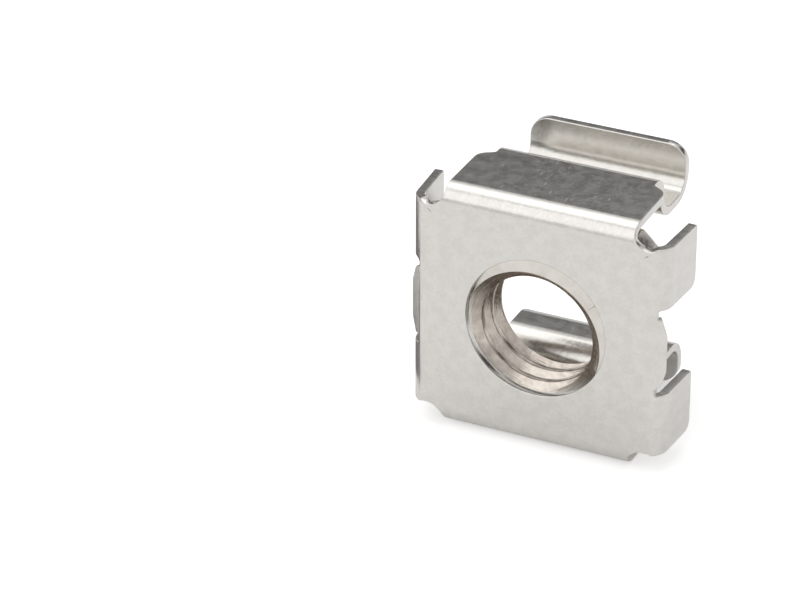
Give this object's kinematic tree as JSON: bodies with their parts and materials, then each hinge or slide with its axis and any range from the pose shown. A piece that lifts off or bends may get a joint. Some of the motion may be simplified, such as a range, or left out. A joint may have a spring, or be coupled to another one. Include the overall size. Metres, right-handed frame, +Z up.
{
  "type": "rack cage nut",
  "caption": "Square nut held loose in a folded stainless spring cage, whose hooks clip it into a square rack hole.",
  "frame": {"origin": "centre of the square rack hole, at the back face of the panel that the cage clips into", "axes": "+Y out of the panel, to the side the bolt comes from; +Z up, from the lower hook to the upper one; +X to the right, seen from the face of the plate"},
  "size_m": [0.0152, 0.0102, 0.0148],
  "materials": {
    "spring_steel": "satin rolled stainless sheet, tumbled to a soft shine",
    "nut_steel": "bright turned stainless"
  },
  "bodies": {
    "root": {"spring_cage": "spring_steel", "square_nut": "nut_steel"}
  },
  "joints": []
}
